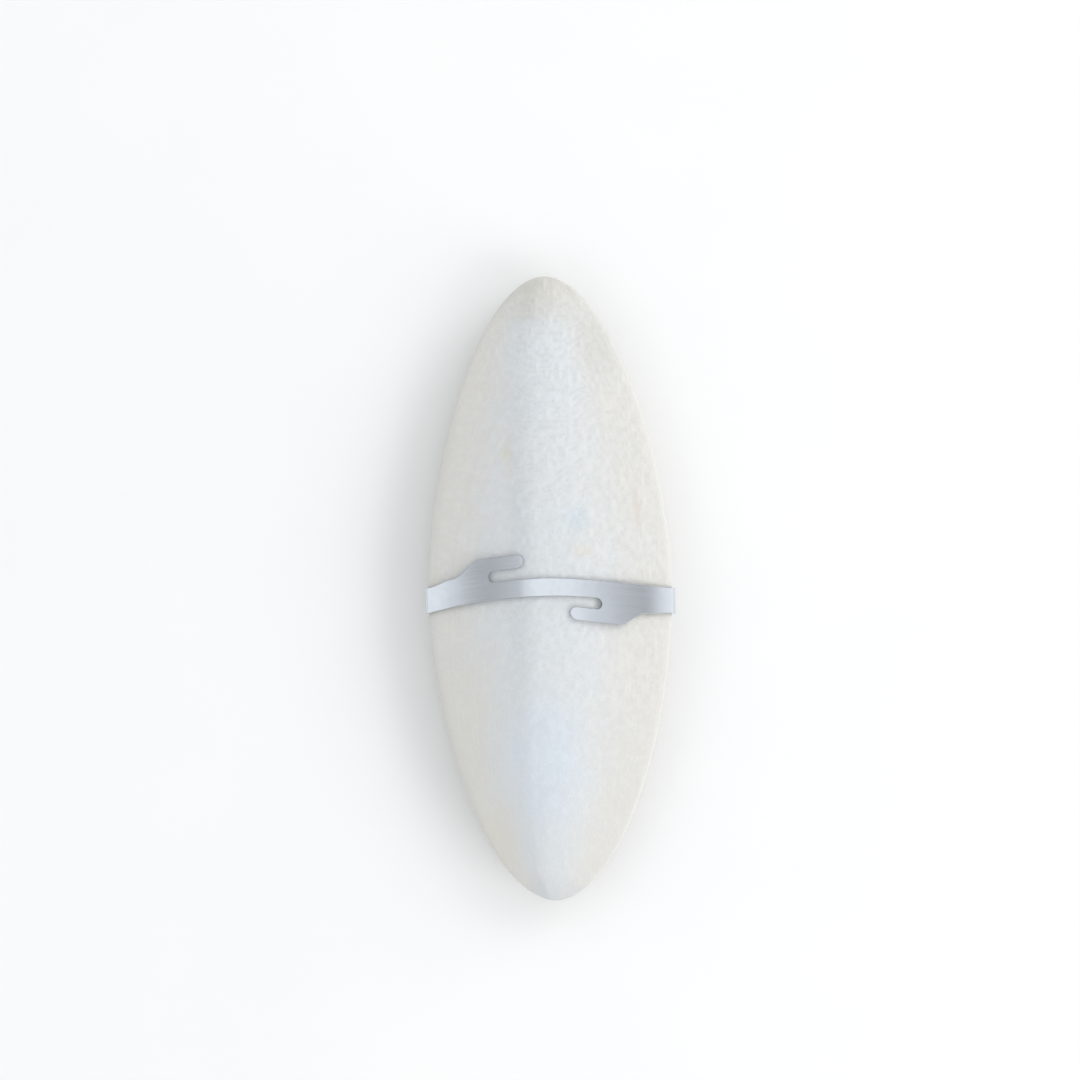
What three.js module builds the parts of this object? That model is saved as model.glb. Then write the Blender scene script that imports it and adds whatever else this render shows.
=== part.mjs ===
// A cuttlebone with the steel clip that holds it to the bars of a bird cage.
//
// The bone lies on its belly with its hard back up: X across, Y from the blunt tail to the
// narrow head, +Z out of the back. The origin is on the resting plane, under the middle of the
// bone. Lengths are in millimetres, and angles in radians.
//
// The bone grew as one piece. Its back is a low gable with a rounded ridge, its rim is thin and
// round-edged, and its belly is deepest near the middle and hollows out towards the tail. The
// clip is one stamped strip, bent over the back and round both rims, with a claw at each end
// that grips the belly's flank. Two hook tabs are cut out of it, pointing opposite ways. They lie
// level with the strip, and spring up when a cage bar is pushed in under each of them.

import * as THREE from "three";
import { mergeVertices } from "three/addons/utils/BufferGeometryUtils.js";

const { clamp, degToRad, lerp, smoothstep } = THREE.MathUtils;

// The bone's driving dimensions.
const LENGTH = 160;
const WIDTH = 62.4;
const RIM_THICKNESS = 1.4;
const RIM_DROP = 2.5; // of the rim at head and tail, below its height in the middle
const BACK_RISE = 0.215; // of the ridge over the rim, for each millimetre of half width
const RIDGE_SHARE = { left: 0.28, right: 0.42 }; // of the half width, which the ridge rounds
const RIDGE_OFFSET = -2.4; // of the ridge from the bone's middle, which no real one quite follows
const BELLY_DEPTH = 10;
const REST_WEAR = 0.35; // depth of the belly's flat, which it lies on

// The clip's driving dimensions.
const SHEET = 0.4;
const RIM_GAP = 0.35; // between the rim's edge and the sheet bent round it
const CROWN_GAP = 0.33; // between the ridge and the sheet over it
const FLANK_TILT = { left: degToRad(13.1), right: degToRad(12.8) };
const CLAW_TILT = degToRad(142.5);
const CROWN_RUN = { left: 7.9, right: 11.6 }; // run along the sheet, over which its crown bends
const CREASE_RUN = 24.2; // beyond the crease, the arm is steeper
const CREASE_LENGTH = 0.8;
const CLAW_LENGTH = 5.6;
const STRIP_HALF = 2.3; // half of the strip's width in the middle
const ARM_HALF = 3.25; // and at the rim
const ARM_ROOT = 4.4; // width of the arm next to the shoulder, from the centre line
const STRIP_ARCH = 3.6; // by which the strip's ends lie nearer the tail than its middle
const STRIP_OFFSET = 0.45; // of its middle towards the head
const STRIP_SKEW = -0.021; // slope of the whole strip across the bone
const SLOT_INNER = 2.05; // slot and tab, across the strip from its centre line
const SLOT_OUTER = 5.0;
const TAB_OUTER = 8.3;
const TAB_TIP = { left: 4.6, right: 6.8 }; // and along it, from its middle
const SLOT_END = 14.5;
const SHOULDER_START = { left: 17.2, right: 18.4 };
const SHOULDER_END = { left: 24.4, right: 25.2 };
const TAB_LEAN = 0.3; // of both tips towards the head

const halfLength = LENGTH / 2;
const halfWidth = WIDTH / 2;
const rimHeight = BELLY_DEPTH - REST_WEAR + RIM_THICKNESS / 2;

/** n + 1 values, evenly spaced from a to b. */
const evenly = (a, b, n) => Array.from({ length: n + 1 }, (_, i) => lerp(a, b, i / n));

/** n + 1 values from a to b, closing up towards b as points on a quarter circle do. */
const closingUp = (a, b, n) => evenly(0, Math.PI / 2, n).map((t) => lerp(a, b, Math.sin(t)));

/** A geometry with only its positions, each corner shared by the faces that meet there. */
function welded(geometry) {
  geometry.deleteAttribute("normal");
  geometry.deleteAttribute("uv");
  const shared = mergeVertices(geometry);
  shared.computeVertexNormals();
  return shared;
}

// ---------------------------------------------------------------------------------- the bone

/** Half the bone's width at station s, from -1 at the tail to 1 at the head. */
function halfWidthAt(s) {
  const WAIST = 0.12; // rounds the outline's middle, where the two halves meet
  const BLUNTNESS = 0.53;
  const taper = s > 0 ? 1.6 : 1.75; // the head narrows sooner than the tail
  const reach = (t) => Math.hypot(t, WAIST) ** taper - WAIST ** taper;
  return halfWidth * Math.max(0, 1 - reach(s) / reach(1)) ** BLUNTNESS;
}

/** Height of the rim's mid-plane at station s. */
function rimHeightAt(s) {
  return rimHeight - RIM_DROP * s * s;
}

/** Half the rim's thickness at station s and share q of the half width: its edge is round. */
function rimHalfAt(s, q) {
  const THINNING = 0.35; // towards head and tail
  const EDGE_POWER = 24;
  const thickness = RIM_THICKNESS * (halfWidthAt(s) / halfWidth) ** THINNING;
  return (thickness / 2) * Math.sqrt(Math.max(0, 1 - q ** EDGE_POWER));
}

/**
 * Height of the back over the rim, at station s and signed share across: a straight flank on
 * each side, and a parabola from each up to the ridge. The right one is wider, and its flank is
 * a little steeper for it.
 */
function backHeightAt(s, across) {
  const q = Math.abs(across);
  const share = across < 0 ? RIDGE_SHARE.left : RIDGE_SHARE.right;
  const cut = Math.max(0, share - q) ** 2 / (2 * share);
  return (BACK_RISE / (1 - share / 2)) * halfWidthAt(s) * (1 - q - cut);
}

/** How far right of the middle the ridge lies: it wanders off a little more towards the tail. */
function ridgeAt(s) {
  const DRIFT = 0.25;
  const TAPER = 5; // keeps the ridge inside the narrow ends
  const fade = (wide) => wide / (wide + TAPER);
  return (RIDGE_OFFSET * (1 - DRIFT * s) * fade(halfWidthAt(s))) / fade(halfWidth);
}

/** A rounded swelling's height at a share of its reach: 1 at its middle and 0 at its edge. */
function swell(share, { power, fullness }) {
  return Math.max(0, 1 - share ** power) ** fullness;
}

/** Depth of the belly under the rim: it starts inside a thin flange, and is fuller at the head. */
function bellyDepthAt(s, q) {
  const CREST = 0.04; // the deepest station
  const FLANGE = 0.965; // share of the half width where the belly starts
  const TAIL_FLANGE = 0.14; // by which the flange is wider at the tail
  const ACROSS = { power: 2.3, fullness: 0.85 };
  const HEADWARDS = { power: 2.3, fullness: 0.8 };
  const TAILWARDS = { power: 2.1, fullness: 1.3 };
  const inside = FLANGE - TAIL_FLANGE * Math.min(0, s) ** 2;
  const along =
    s > CREST
      ? swell((s - CREST) / (1 - CREST), HEADWARDS)
      : swell((CREST - s) / (1 + CREST), TAILWARDS);
  return BELLY_DEPTH * along * swell(q / inside, ACROSS);
}

/** Moves a point of the unit sphere, whose poles are on Y, to its place on the bone. */
function onBone(point) {
  const s = clamp(point.y, -1, 1);
  const ring = Math.hypot(point.x, point.z);
  const across = ring > 0 ? point.x / ring : 0;
  const q = Math.abs(across);
  const x = halfWidthAt(s) * across;
  const y = halfLength * s;
  if (point.z > 0) {
    const back = rimHeightAt(s) + rimHalfAt(s, q) + backHeightAt(s, across);
    return point.set(x + ridgeAt(s) * (1 - q), y, back);
  }
  const belly = rimHeightAt(s) - rimHalfAt(s, q) - bellyDepthAt(s, q);
  return point.set(x, y, Math.max(0, belly));
}

/** The bone: a sphere with each of its points moved to its place. */
function boneGeometry() {
  const AROUND = 56;
  const ALONG = 44;
  const sphere = new THREE.SphereGeometry(1, AROUND, ALONG);
  const position = sphere.getAttribute("position");
  const point = new THREE.Vector3();
  for (let i = 0; i < position.count; i++) {
    onBone(point.fromBufferAttribute(position, i));
    position.setXYZ(i, point.x, point.y, point.z);
  }
  return welded(sphere);
}

// ---------------------------------------------------------------------------------- the clip

const bendRadius = RIM_THICKNESS / 2 + RIM_GAP;
const crownHeight = rimHeight + RIM_THICKNESS / 2 + BACK_RISE * halfWidth + CROWN_GAP;

/** Where the sheet's inner face has got to after a list of straight and evenly bent stretches. */
function follow(stretches, run = Infinity) {
  const at = { x: 0, z: 0, tilt: 0, left: run };
  for (const { length, turn } of stretches) {
    const gone = Math.min(length, at.left);
    const tilt = at.tilt + (turn * gone) / length;
    at.x += turn ? (length / turn) * (Math.sin(tilt) - Math.sin(at.tilt)) : gone * Math.cos(tilt);
    at.z += turn ? (length / turn) * (Math.cos(tilt) - Math.cos(at.tilt)) : -gone * Math.sin(tilt);
    at.tilt = tilt;
    at.left -= gone;
  }
  return at;
}

/**
 * A half of the clip as stretches of its sheet, with the runs at which its parts start. The arm
 * is straight and touches the circle that is bent round the rim. Its tilt also moves the end of
 * the crease a little, so it is worked out a few times.
 */
function halfPath(side) {
  const half = side < 0 ? "left" : "right";
  const stretches = [
    { length: CROWN_RUN[half], turn: FLANK_TILT[half] },
    { length: CREASE_RUN - CROWN_RUN[half], turn: 0 },
    { length: CREASE_LENGTH, turn: 0 },
  ];
  let armLength = 0;
  let armTilt = FLANK_TILT[half];
  for (let pass = 0; pass < 6; pass++) {
    stretches[2].turn = armTilt - FLANK_TILT[half];
    const crease = follow(stretches);
    const out = halfWidth - RIM_THICKNESS / 2 - crease.x;
    const down = crownHeight + crease.z - rimHeight;
    armTilt = Math.atan2(down, out) - Math.asin(bendRadius / Math.hypot(out, down));
    armLength = Math.sqrt(out ** 2 + down ** 2 - bendRadius ** 2);
  }
  const bend = { length: bendRadius * (CLAW_TILT - armTilt), turn: CLAW_TILT - armTilt };
  stretches.push({ length: armLength, turn: 0 }, bend, { length: CLAW_LENGTH, turn: 0 });
  const bendRun = CREASE_RUN + CREASE_LENGTH + armLength;
  const clawRun = bendRun + bend.length;
  const endRun = clawRun + CLAW_LENGTH;
  return { side, half, stretches, crownRun: CROWN_RUN[half], bendRun, clawRun, endRun };
}

/** Where the strip's centre line crosses a distance x from the bone's middle: a low arch. */
function centreLine(x) {
  const ARCH_POWER = 1.7;
  const drop = STRIP_ARCH * Math.min(1, Math.abs(x) / halfWidth) ** ARCH_POWER;
  return STRIP_OFFSET + STRIP_SKEW * x - drop;
}

/**
 * Both faces of the sheet at a point of a half's flat blank. The run is measured along the strip
 * from its middle, and across from its centre line towards the half's own tab. The middle lies on
 * the bone's ridge, so one arm is longer.
 */
function bent({ side, stretches }, run, across) {
  const at = follow(stretches, run);
  const face = (off) => {
    const out = at.x + off * Math.sin(at.tilt);
    const x = RIDGE_OFFSET * Math.max(0, 1 - out / halfWidth) + side * out;
    const z = crownHeight + at.z + off * Math.cos(at.tilt);
    return new THREE.Vector3(x, centreLine(x) - side * across, z);
  };
  return { inner: face(0), outer: face(SHEET) };
}

/** The four-cornered cells between two edges that have equally many points. */
function cellsBetween(left, right) {
  return left.slice(1).map((_, i) => [left[i], left[i + 1], right[i + 1], right[i]]);
}

/** How far a circle reaches sideways at a distance from its centre. */
function chord(radius, distance) {
  return Math.sqrt(Math.max(0, radius ** 2 - distance ** 2));
}

/** Half of the clip as cells between edges: the strip, and the ear of its tab and shoulder. */
function halfClip(side) {
  const path = halfPath(side);
  const { half, crownRun, bendRun, clawRun, endRun } = path;
  const tabTip = TAB_TIP[half];
  const shoulderEnd = SHOULDER_END[half];
  const tipRadius = (TAB_OUTER - SLOT_OUTER) / 2;
  const tipCentre = tabTip + tipRadius;
  const tabMiddle = (TAB_OUTER + SLOT_OUTER) / 2;
  const slotRadius = (SLOT_OUTER - SLOT_INNER) / 2;
  const slotCentre = SLOT_END - slotRadius;
  const slotMiddle = (SLOT_OUTER + SLOT_INNER) / 2;

  // Where each edge lies across the strip, at a given run along it.
  const CLAW_POINT = { power: 2.5, fullness: 0.5 };
  const FLARE_POWER = 3;
  const clawShare = (run) => swell(Math.max(0, run - clawRun) / CLAW_LENGTH, CLAW_POINT);
  const flare = (run) => Math.min(1, run / bendRun) ** FLARE_POWER;
  const plainEdge = (run) => -lerp(STRIP_HALF, ARM_HALF, flare(run)) * clawShare(run);
  const slotHalf = (run) => chord(slotRadius, Math.max(0, run - slotCentre));
  const slotLow = (run) => {
    const narrowing = (STRIP_HALF - SLOT_INNER) * Math.max(0, 1 - run / slotCentre);
    return slotMiddle - slotHalf(run) + narrowing;
  };
  const lean = (run) => -side * TAB_LEAN * ((SLOT_END - run) / (SLOT_END - tabTip)) ** 2;
  const tabHalf = (run) => chord(tipRadius, Math.max(0, tipCentre - run));
  const tabLow = (run) => tabMiddle + lean(run) - tabHalf(run) - slotRadius + slotHalf(run);
  const tabHigh = (run) => tabMiddle + lean(run) + tabHalf(run);
  const seam = (run) => slotMiddle * (1 - (run - SLOT_END) / (endRun - SLOT_END));
  const arm = (run) => lerp(ARM_ROOT, ARM_HALF, smoothstep(run, shoulderEnd, bendRun));
  const step = (run) => smoothstep(run, SHOULDER_START[half], shoulderEnd);
  const shoulder = (run) => lerp(TAB_OUTER, arm(run), step(run)) * clawShare(run);

  // The runs at which the blank is divided, closer together where an edge or the sheet bends.
  const slotClosing = closingUp(slotCentre, SLOT_END, 4).slice(0, -1);
  const besideSlot = [
    ...evenly(0, crownRun, 5),
    ...slotClosing,
  ];
  const alongTab = [
    ...closingUp(tipCentre, tabTip, 5).reverse(),
    ...evenly(tipCentre, slotCentre, 4).slice(1, -1),
    ...slotClosing,
  ];
  const beyondSlot = [
    ...evenly(SLOT_END, CREASE_RUN, 7),
    CREASE_RUN + CREASE_LENGTH,
    ...evenly(CREASE_RUN + CREASE_LENGTH, bendRun, 4).slice(1, -1),
    ...evenly(bendRun, clawRun, 9),
    ...closingUp(clawRun, endRun, 5).slice(1),
  ];

  const edge = (runs, across) => runs.map((run) => bent(path, run, across(run)));
  const strip = cellsBetween(
    [...edge(besideSlot, slotLow), ...edge(beyondSlot, seam)],
    edge([...besideSlot, ...beyondSlot], plainEdge),
  );
  const ear = cellsBetween(
    [...edge(alongTab, tabHigh), ...edge(beyondSlot, shoulder)],
    [...edge(alongTab, tabLow), ...edge(beyondSlot, seam)],
  );
  return [...strip, ...ear];
}

/** A closed sheet over cells: an inner and an outer face, and a wall along each free edge. */
function sheetGeometry(cells) {
  const place = ({ outer }) => outer.toArray().map((v) => v.toFixed(3)).join();
  const between = (from, to) => `${place(from)} to ${place(to)}`;
  const faces = cells
    .flatMap(([a, b, c, d]) => [[a, b, c], [a, c, d]])
    .filter((face) => new Set(face.map(place)).size === 3);
  const corners = [];
  const edges = new Map();
  for (const [a, b, c] of faces) {
    corners.push(a.outer, b.outer, c.outer, a.inner, c.inner, b.inner);
    edges.set(between(a, b), [a, b]).set(between(b, c), [b, c]).set(between(c, a), [c, a]);
  }
  for (const [from, to] of edges.values()) {
    if (edges.has(between(to, from))) continue;
    corners.push(to.outer, from.outer, from.inner, to.outer, from.inner, to.inner);
  }
  return welded(new THREE.BufferGeometry().setFromPoints(corners));
}

// ------------------------------------------------------------------------------ the assembly

const chalkyBone = new THREE.MeshStandardMaterial({
  color: "#e4e5e0",
  roughness: 0.85,
  metalness: 0,
});
const stampedSteel = new THREE.MeshStandardMaterial({
  color: "#c4c8d2",
  roughness: 0.35,
  metalness: 1,
});

/** A named piece of the object. */
function piece(name, geometry, material) {
  const mesh = new THREE.Mesh(geometry, material);
  mesh.name = name;
  return mesh;
}

const clippedCuttlebone = new THREE.Group();
clippedCuttlebone.add(
  piece("cuttlebone", boneGeometry(), chalkyBone),
  piece("cage_clip", sheetGeometry([...halfClip(-1), ...halfClip(1)]), stampedSteel),
);

export default clippedCuttlebone;
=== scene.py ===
"""The looks of a cuttlebone and of the steel clip that holds it to the bars of a bird cage.

The bone lies on its belly with its hard back up: X across, Y from the blunt tail to the narrow
head, and Z out of the back. Lengths are in metres. Each piece is a surface worked out on a grid
from the same formulas as its CAD solid, on which the fine relief of the real thing is laid.
"""

import logging
import math
from collections.abc import Callable
from dataclasses import dataclass, field
from enum import Enum

import bmesh
import bpy
import numpy as np
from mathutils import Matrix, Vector


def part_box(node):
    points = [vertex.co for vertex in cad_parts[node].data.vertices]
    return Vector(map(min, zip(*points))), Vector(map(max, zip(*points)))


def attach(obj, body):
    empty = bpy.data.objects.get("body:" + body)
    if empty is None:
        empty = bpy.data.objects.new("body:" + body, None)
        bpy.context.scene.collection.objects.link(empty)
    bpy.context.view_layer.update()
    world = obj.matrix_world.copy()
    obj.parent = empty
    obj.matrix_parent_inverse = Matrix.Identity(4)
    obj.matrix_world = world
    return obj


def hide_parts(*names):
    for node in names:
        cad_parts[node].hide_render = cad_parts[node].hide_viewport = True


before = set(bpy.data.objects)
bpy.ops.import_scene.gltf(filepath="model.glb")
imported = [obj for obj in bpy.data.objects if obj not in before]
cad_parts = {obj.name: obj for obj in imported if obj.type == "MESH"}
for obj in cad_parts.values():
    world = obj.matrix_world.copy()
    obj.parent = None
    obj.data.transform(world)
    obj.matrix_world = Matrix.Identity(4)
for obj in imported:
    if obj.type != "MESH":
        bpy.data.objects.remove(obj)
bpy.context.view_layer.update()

Array = np.ndarray
Node, NodeTree, Socket = bpy.types.Node, bpy.types.NodeTree, bpy.types.NodeSocket
Material, Piece = bpy.types.Material, bpy.types.Object
Triple = tuple[float, float, float]
Colour = Triple
Span = tuple[float, float]

MM = 0.001
log = logging.getLogger("cuttlebone")


class Side(Enum):
    """A half of the clip, by the sign of its X."""

    LEFT = -1
    RIGHT = 1


class Ramp(Enum):
    """How a value passes from one limit to the other."""

    STRAIGHT = "LINEAR"
    SOFT = "SMOOTHSTEP"


# ------------------------------------------------------------------------------ plain shapes


def soft_step(value: Array, start: float, end: float) -> Array:
    """Blends from 0 at start to 1 at end: three times the share's square less twice its cube."""
    share = np.clip((value - start) / (end - start), 0, 1)
    return share * share * (3 - 2 * share)


def hump(value: Array, middle: float, reach: float) -> Array:
    """A bell round a middle: the exponential of minus the squared distance in reaches."""
    return np.exp(-(((value - middle) / reach) ** 2))


def walked_share(path: Array) -> Array:
    """How far along a path each of its points lies, from 0 to 1 of its walked length.

    Args:
        path: Points of the path, one to a row.

    Returns:
        The share of the length at each point.
    """
    steps = np.linalg.norm(np.diff(path, axis=0), axis=1)
    walked = np.concatenate([[0], np.cumsum(steps)])
    return walked / walked[-1]


def even_spread(path: Array, count: int) -> Array:
    """Points at equal walked distances along a path, one to a row, from its first to its last."""
    marks, walked = np.linspace(0, 1, count), walked_share(path)
    return np.stack([np.interp(marks, walked, column) for column in path.T], axis=1)


def patch_between(near: Array, far: Array, start: Array, end: Array) -> Array:
    """Fills four edges that meet at their ends.

    Each point is the blend of the two long edges, plus the blend of the two short ones, less
    the plain four-cornered blend of the corners, which the first two both contain.

    Args:
        near: Long edge from the start to the end.
        far: Long edge opposite it, with as many points.
        start: Short edge from near to far at their first points.
        end: Short edge from near to far at their last points.

    Returns:
        A grid of points: along the long edges, then across.
    """
    along = np.linspace(0, 1, len(near))[:, None, None]
    across = np.linspace(0, 1, len(start))[None, :, None]
    long_blend = (1 - across) * near[:, None] + across * far[:, None]
    short_blend = (1 - along) * start[None] + along * end[None]
    near_corners = (1 - along) * near[0] + along * near[-1]
    far_corners = (1 - along) * far[0] + along * far[-1]
    return long_blend + short_blend - ((1 - across) * near_corners + across * far_corners)


def grid_faces(rows: int, columns: int, first: int = 0) -> Array:
    """Four-cornered faces of a grid of vertices.

    Args:
        rows: Number of rows of vertices.
        columns: Number of vertices in a row.
        first: Index of the grid's first vertex.

    Returns:
        Four vertex indices to a row, turning from a row towards the next column.
    """
    index = first + np.arange(rows * columns).reshape(rows, columns)
    corners = index[:-1, :-1], index[:-1, 1:], index[1:, 1:], index[1:, :-1]
    return np.stack(corners, axis=-1).reshape(-1, 4)


class Grain:
    """Seeded random relief: values at the corners of a square lattice, smoothly blended.

    A corner takes one of the drawn values by its column and row, each multiplied by a large
    prime and mixed bit by bit.
    """

    count = 4096
    column_prime = 73856093
    row_prime = 19349663

    def __init__(self, seed: int) -> None:
        """Draws the lattice values, the same in every run."""
        self.values = np.random.default_rng(seed).uniform(-1, 1, self.count)

    def at(self, x: Array, y: Array, size: float) -> Array:
        """The relief at places, between -1 and 1.

        Args:
            x: Places across, in metres.
            y: Places along, in metres.
            size: Width of a lattice square, in metres.

        Returns:
            The relief: its four corner values, blended by the soft step in both directions.
        """
        column, row = np.floor(x / size).astype(np.int64), np.floor(y / size).astype(np.int64)
        right = soft_step(x / size - column, 0, 1)
        up = soft_step(y / size - row, 0, 1)
        total = np.zeros(np.broadcast(x, y).shape)
        for over, share_x in ((0, 1 - right), (1, right)):
            for above, share_y in ((0, 1 - up), (1, up)):
                mixed = (column + over) * self.column_prime ^ (row + above) * self.row_prime
                total += share_x * share_y * self.values[mixed & (self.count - 1)]
        return total


def new_piece(name: str, vertices: Array, faces: list[list[int]]) -> Piece:
    """Makes a smooth-shaded mesh object whose place is in its mesh, and adds it to the scene.

    Args:
        name: Name of the object.
        vertices: One point to a row.
        faces: Vertex indices of each face.

    Returns:
        The object, at the origin.
    """
    mesh = bpy.data.meshes.new(name)
    mesh.from_pydata(vertices, [], faces)
    mesh.shade_smooth()
    piece = bpy.data.objects.new(name, mesh)
    bpy.context.scene.collection.objects.link(piece)
    return piece


def add_values(piece: Piece, name: str, values: Array) -> None:
    """Gives each vertex a number, or three, that the piece's material can read.

    Args:
        piece: The object.
        name: Name of the attribute.
        values: One number or three to a vertex.
    """
    kind, key = ("FLOAT_VECTOR", "vector") if values.ndim == 2 else ("FLOAT", "value")
    attribute = piece.data.attributes.new(name, kind, "POINT")
    attribute.data.foreach_set(key, values.astype(np.float32).ravel())


# --------------------------------------------------------------------------- shader networks


class Graph:
    """Adds nodes to a shader tree and joins them, a short call for each."""

    def __init__(self, tree: NodeTree) -> None:
        """Starts on a material's, a group's or a world's tree."""
        self.tree = tree

    def feed(self, node: Node, inputs: dict) -> None:
        """Sets inputs of a node, or joins sockets to them.

        Args:
            node: The node.
            inputs: A value or a socket for each input, by name or by index.
        """
        for key, value in inputs.items():
            if isinstance(value, Socket):
                self.tree.links.new(value, node.inputs[key])
            else:
                node.inputs[key].default_value = value

    def node(self, kind: str, inputs: dict, **settings: object) -> Node:
        """Adds a node.

        Args:
            kind: The node's type, without its ShaderNode.
            inputs: A value or a socket for each input, by name or by index.
            settings: Properties of the node itself.

        Returns:
            The node.
        """
        node = self.tree.nodes.new("ShaderNode" + kind)
        for key, value in settings.items():
            setattr(node, key, value)
        self.feed(node, inputs)
        return node

    def math(self, operation: str, *values: float | Socket) -> Socket:
        """A Math node's result."""
        return self.node("Math", dict(enumerate(values)), operation=operation).outputs[0]

    def vectors(self, operation: str, *values: Triple | Socket) -> Node:
        """A Vector Math node, with the outputs Vector and Value."""
        return self.node("VectorMath", dict(enumerate(values)), operation=operation)

    def attribute(self, name: str, output: str = "Fac") -> Socket:
        """What an attribute holds: a number, or three at the output Vector."""
        return self.node("Attribute", {}, attribute_name=name).outputs[output]

    def noise(self, place: Socket, size: float | Socket, detail: float = 2) -> Socket:
        """Cloudy noise.

        Args:
            place: Where to look it up.
            size: Width of its largest blots, in the place's unit.
            detail: How many finer layers it has.

        Returns:
            A value from 0 to 1, about 0.5 on average.
        """
        scale = self.math("DIVIDE", 1.0, size) if isinstance(size, Socket) else 1 / size
        inputs = {"Vector": place, "Scale": scale, "Detail": detail}
        return self.node("TexNoise", inputs).outputs[0]

    def ramp(
        self,
        value: Socket,
        start: float | Socket,
        end: float | Socket,
        to: Span = (0, 1),
        kind: Ramp = Ramp.SOFT,
    ) -> Socket:
        """Turns a range of a value into another range, and holds it at both ends.

        Args:
            value: The value.
            start: Value that gives the first result.
            end: Value that gives the second.
            to: The two results.
            kind: How the result passes between them.

        Returns:
            The result.
        """
        inputs = dict(enumerate((value, start, end, *to)))
        return self.node("MapRange", inputs, interpolation_type=kind.value).outputs["Result"]

    def tint(self, share: Socket, base: Colour | Socket, tinted: Colour | Socket) -> Socket:
        """A colour mixed into another.

        Args:
            share: How much of the second colour there is, from 0 to 1.
            base: First colour.
            tinted: Second colour.

        Returns:
            The mixed colour.
        """
        colours = [c if isinstance(c, Socket) else (*c, 1) for c in (base, tinted)]
        inputs = {0: share, 6: colours[0], 7: colours[1]}
        return self.node("Mix", inputs, data_type="RGBA").outputs[2]

    def shade(self, colour: Socket, by: Socket) -> Socket:
        """A colour multiplied by a value.

        Args:
            colour: The colour.
            by: The value.

        Returns:
            The multiplied colour.
        """
        grey = self.node("CombineColor", {0: by, 1: by, 2: by}).outputs[0]
        inputs = {0: 1.0, 6: colour, 7: grey}
        return self.node("Mix", inputs, data_type="RGBA", blend_type="MULTIPLY").outputs[2]

    def bumped(self, height: Socket, depth: float) -> Socket:
        """The normal of a surface that has a relief of a depth."""
        inputs = {"Height": height, "Distance": depth, "Strength": 1.0}
        return self.node("Bump", inputs).outputs["Normal"]

    def use(self, effect: NodeTree, inputs: dict) -> Socket:
        """An effect's output, for a value or a socket at each of its named inputs."""
        return self.node("Group", inputs, node_tree=effect).outputs[0]


class Effect(Graph):
    """A node group that is being built, with named inputs and one named output."""

    def __init__(self, name: str, inputs: dict[str, float | None], output: str) -> None:
        """Makes the empty group.

        Args:
            name: Name of the group.
            inputs: Each input's default value, or None for a vector.
            output: Name of the output, which is a plain value.
        """
        super().__init__(bpy.data.node_groups.new(name, "ShaderNodeTree"))
        for key, default in inputs.items():
            kind = "NodeSocketVector" if default is None else "NodeSocketFloat"
            socket = self.tree.interface.new_socket(key, in_out="INPUT", socket_type=kind)
            if default is not None:
                socket.default_value = default
        self.tree.interface.new_socket(output, in_out="OUTPUT", socket_type="NodeSocketFloat")
        self.given = self.tree.nodes.new("NodeGroupInput").outputs
        self.result = self.tree.nodes.new("NodeGroupOutput")

    def ending_in(self, value: Socket) -> NodeTree:
        """Puts a value out, and gives the finished group."""
        self.feed(self.result, {0: value})
        return self.tree


def mottle_group() -> NodeTree:
    """Blotches of two sizes laid over each other.

    The large noise counts two parts and one of a quarter its size counts one part. What lies
    between the two limits of their sum passes softly from 0 to 1.

    Returns:
        The group, with the inputs Place, Size, Low and High and the output Mask.
    """
    quarter, two_parts, one_part = 0.25, 0.667, 0.333
    effect = Effect("mottle", {"Place": None, "Size": 0.01, "Low": 0.4, "High": 0.6}, "Mask")
    place, size = effect.given["Place"], effect.given["Size"]
    large = effect.noise(place, size)
    small = effect.noise(place, effect.math("MULTIPLY", size, quarter))
    small = effect.math("MULTIPLY", small, one_part)
    both = effect.math("MULTIPLY_ADD", large, two_parts, small)
    return effect.ending_in(effect.ramp(both, effect.given["Low"], effect.given["High"]))


def blot_group() -> NodeTree:
    """A soft spot with a ragged edge.

    The mask is 1 at the spot's middle and fades to 0 at its reach. Noise moves the edge in and
    out by up to its share of the reach.

    Returns:
        The group, with the inputs Offset (in reaches from the middle), Place, Grain and Ragged
        and the output Mask.
    """
    edge, core = 1.0, 0.1
    inputs = {"Offset": None, "Place": None, "Grain": 0.002, "Ragged": 0.6}
    effect = Effect("blot", inputs, "Mask")
    given = effect.given
    length = effect.vectors("LENGTH", given["Offset"]).outputs["Value"]
    noise = effect.noise(given["Place"], given["Grain"], detail=3)
    shift = effect.math("SUBTRACT", noise, 0.5)
    shifted = effect.math("MULTIPLY_ADD", shift, given["Ragged"], length)
    return effect.ending_in(effect.ramp(shifted, edge, core))


def grit_group() -> NodeTree:
    """Fine relief: rounded grains with a finer roughness on them.

    The height is the noise of the grains, plus a third of the noise of a third their size.

    Returns:
        The group, with the inputs Place and Size and the output Height.
    """
    third = 0.33
    effect = Effect("grit", {"Place": None, "Size": 0.001}, "Height")
    place, size = effect.given["Place"], effect.given["Size"]
    grains = effect.noise(place, size, detail=0)
    fine = effect.noise(place, effect.math("MULTIPLY", size, third), detail=1)
    return effect.ending_in(effect.math("MULTIPLY_ADD", fine, third, grains))


@dataclass
class Effects:
    """The effects that the finishes share, each a node group that is built once."""

    mottle: NodeTree = field(default_factory=mottle_group)
    blot: NodeTree = field(default_factory=blot_group)
    grit: NodeTree = field(default_factory=grit_group)


@dataclass(frozen=True)
class Patches:
    """Blotches: their size, and the two limits between which they fade in."""

    size: float
    low: float
    high: float


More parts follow.
